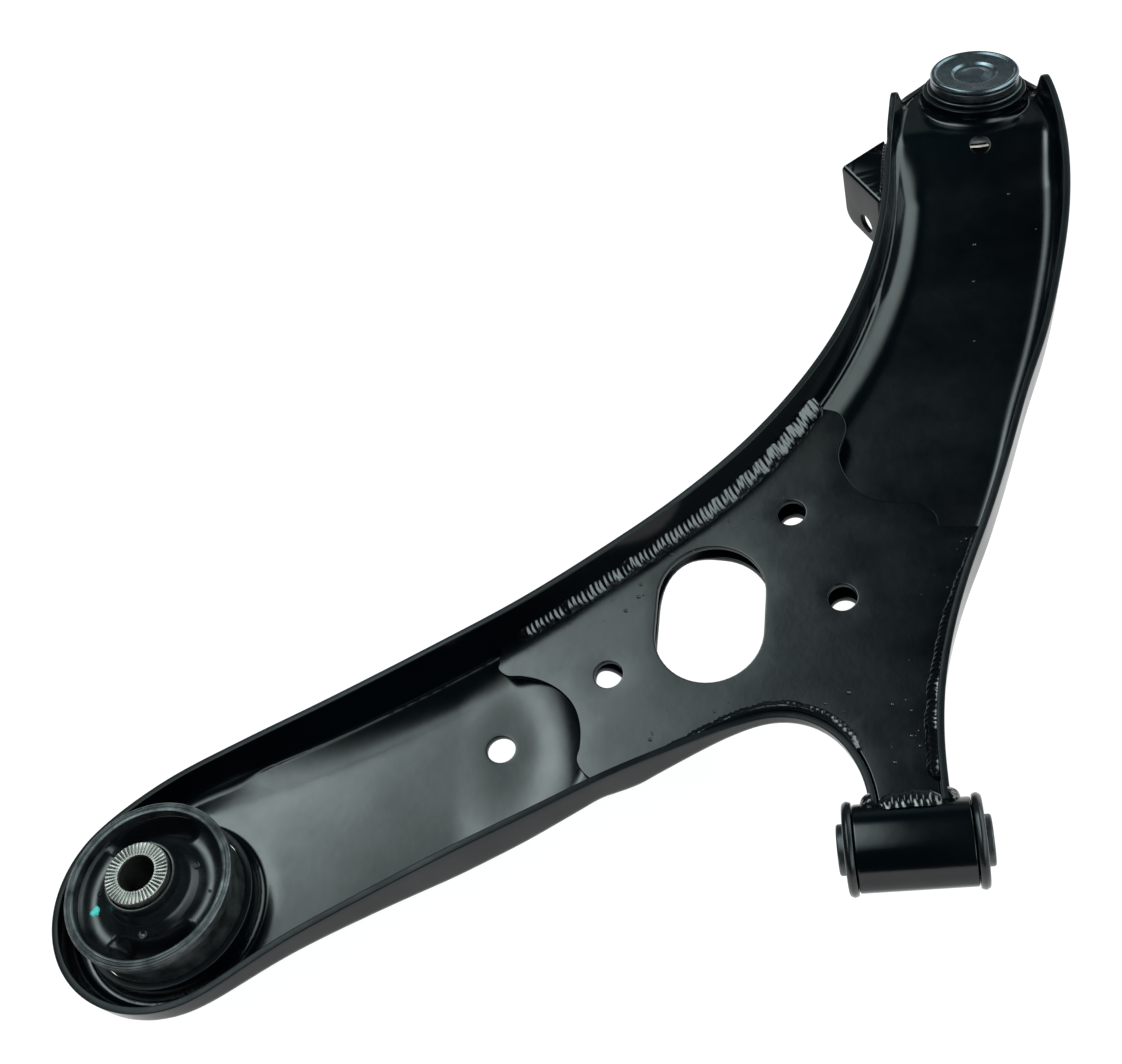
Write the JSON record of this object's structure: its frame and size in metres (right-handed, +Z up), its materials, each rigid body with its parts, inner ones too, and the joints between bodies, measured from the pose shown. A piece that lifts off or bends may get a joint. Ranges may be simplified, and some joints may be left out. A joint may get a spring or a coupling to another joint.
{
  "type": "suspension control arm",
  "caption": "Pressed-steel lower suspension arm with a welded closing plate, vertical rear bush, horizontal front bush, ball joint with boot and side bracket.",
  "frame": {"origin": "centre of the bounding box's footprint, at the height of the ball stud's tip", "axes": "+Z up out of the arm's open side, along the rear bush; +X along the front bush, from the rear bush towards the front one; +Y from the bushes towards the ball joint"},
  "size_m": [0.448, 0.4626, 0.0915],
  "materials": {
    "black_e_coat": "semi-gloss black electrocoat with a faint orange peel, showing blue-grey reflections",
    "weld_e_coat": "glossy black electrocoat over lumpy weld beads",
    "bush_rubber": "satin black moulded rubber",
    "bare_steel": "turned steel with a thin oil film",
    "dark_steel": "dark blue-grey phosphated steel, satin",
    "seat_plastic": "off-white acetal bearing shell"
  },
  "bodies": {
    "arm": {"main_channel": "black_e_coat", "closing_plate": "black_e_coat", "side_bracket": "black_e_coat", "front_bush_tube": "black_e_coat", "weld_plate_upper": "weld_e_coat", "weld_plate_lower": "weld_e_coat", "weld_plate_right": "weld_e_coat", "weld_neck_top": "weld_e_coat", "weld_neck_under": "weld_e_coat", "weld_neck_left": "weld_e_coat", "weld_neck_right": "weld_e_coat", "weld_bracket_top": "weld_e_coat", "weld_bracket_bottom": "weld_e_coat", "rear_bush_outer_sleeve": "dark_steel", "front_bush_outer_sleeve": "dark_steel", "front_bush_rubber": "bush_rubber", "ball_joint_housing": "dark_steel", "ball_joint_cap": "dark_steel", "ball_joint_snap_ring": "bare_steel", "ball_seat": "seat_plastic", "seat_spring_disc": "bare_steel", "boot_clamp_large": "bare_steel"},
    "rear_rubber": {"rear_bush_rubber": "bush_rubber"},
    "rear_core": {"rear_bush_inner_sleeve": "bare_steel"},
    "front_core": {"front_bush_inner_sleeve": "bare_steel"},
    "boot": {"dust_boot": "bush_rubber"},
    "boot_end": {"boot_clamp_small": "bare_steel"},
    "stud": {"ball_stud": "bare_steel"}
  },
  "joints": [
    {"name": "front_bush_twist", "type": "hinge", "parent": "arm", "child": "front_core", "pos_m": [0.12009, -0.17733, 0.04557], "axis": [1, 0, 0], "range_deg": [-15, 15], "stiffness_Nm_per_rad": 57},
    {"name": "rear_bush_tilt", "type": "hinge", "parent": "arm", "child": "rear_rubber", "pos_m": [-0.17591, -0.18453, 0.05497], "axis": [1, 0, 0], "range_deg": [-10, 10], "stiffness_Nm_per_rad": 115, "deforming": ["rear_bush_rubber"]},
    {"name": "rear_bush_twist", "type": "hinge", "parent": "rear_rubber", "child": "rear_core", "pos_m": [-0.17591, -0.18453, 0.05497], "axis": [0, 0, 1], "range_deg": [-8, 8], "stiffness_Nm_per_rad": 85},
    {"name": "ball_swing_travel", "type": "hinge", "parent": "arm", "child": "boot", "pos_m": [0.18686, 0.20077, 0.06869], "axis": [1, 0, 0], "range_deg": [-20, 20], "deforming": ["dust_boot"]},
    {"name": "ball_swing_sideways", "type": "hinge", "parent": "boot", "child": "boot_end", "pos_m": [0.18686, 0.20077, 0.06869], "axis": [0, 0.9808, -0.1952], "range_deg": [-14, 14]},
    {"name": "stud_spin", "type": "hinge", "parent": "boot_end", "child": "stud", "pos_m": [0.18686, 0.20077, 0.06869], "axis": [0.0753, 0.1946, 0.978], "continuous": true}
  ]
}
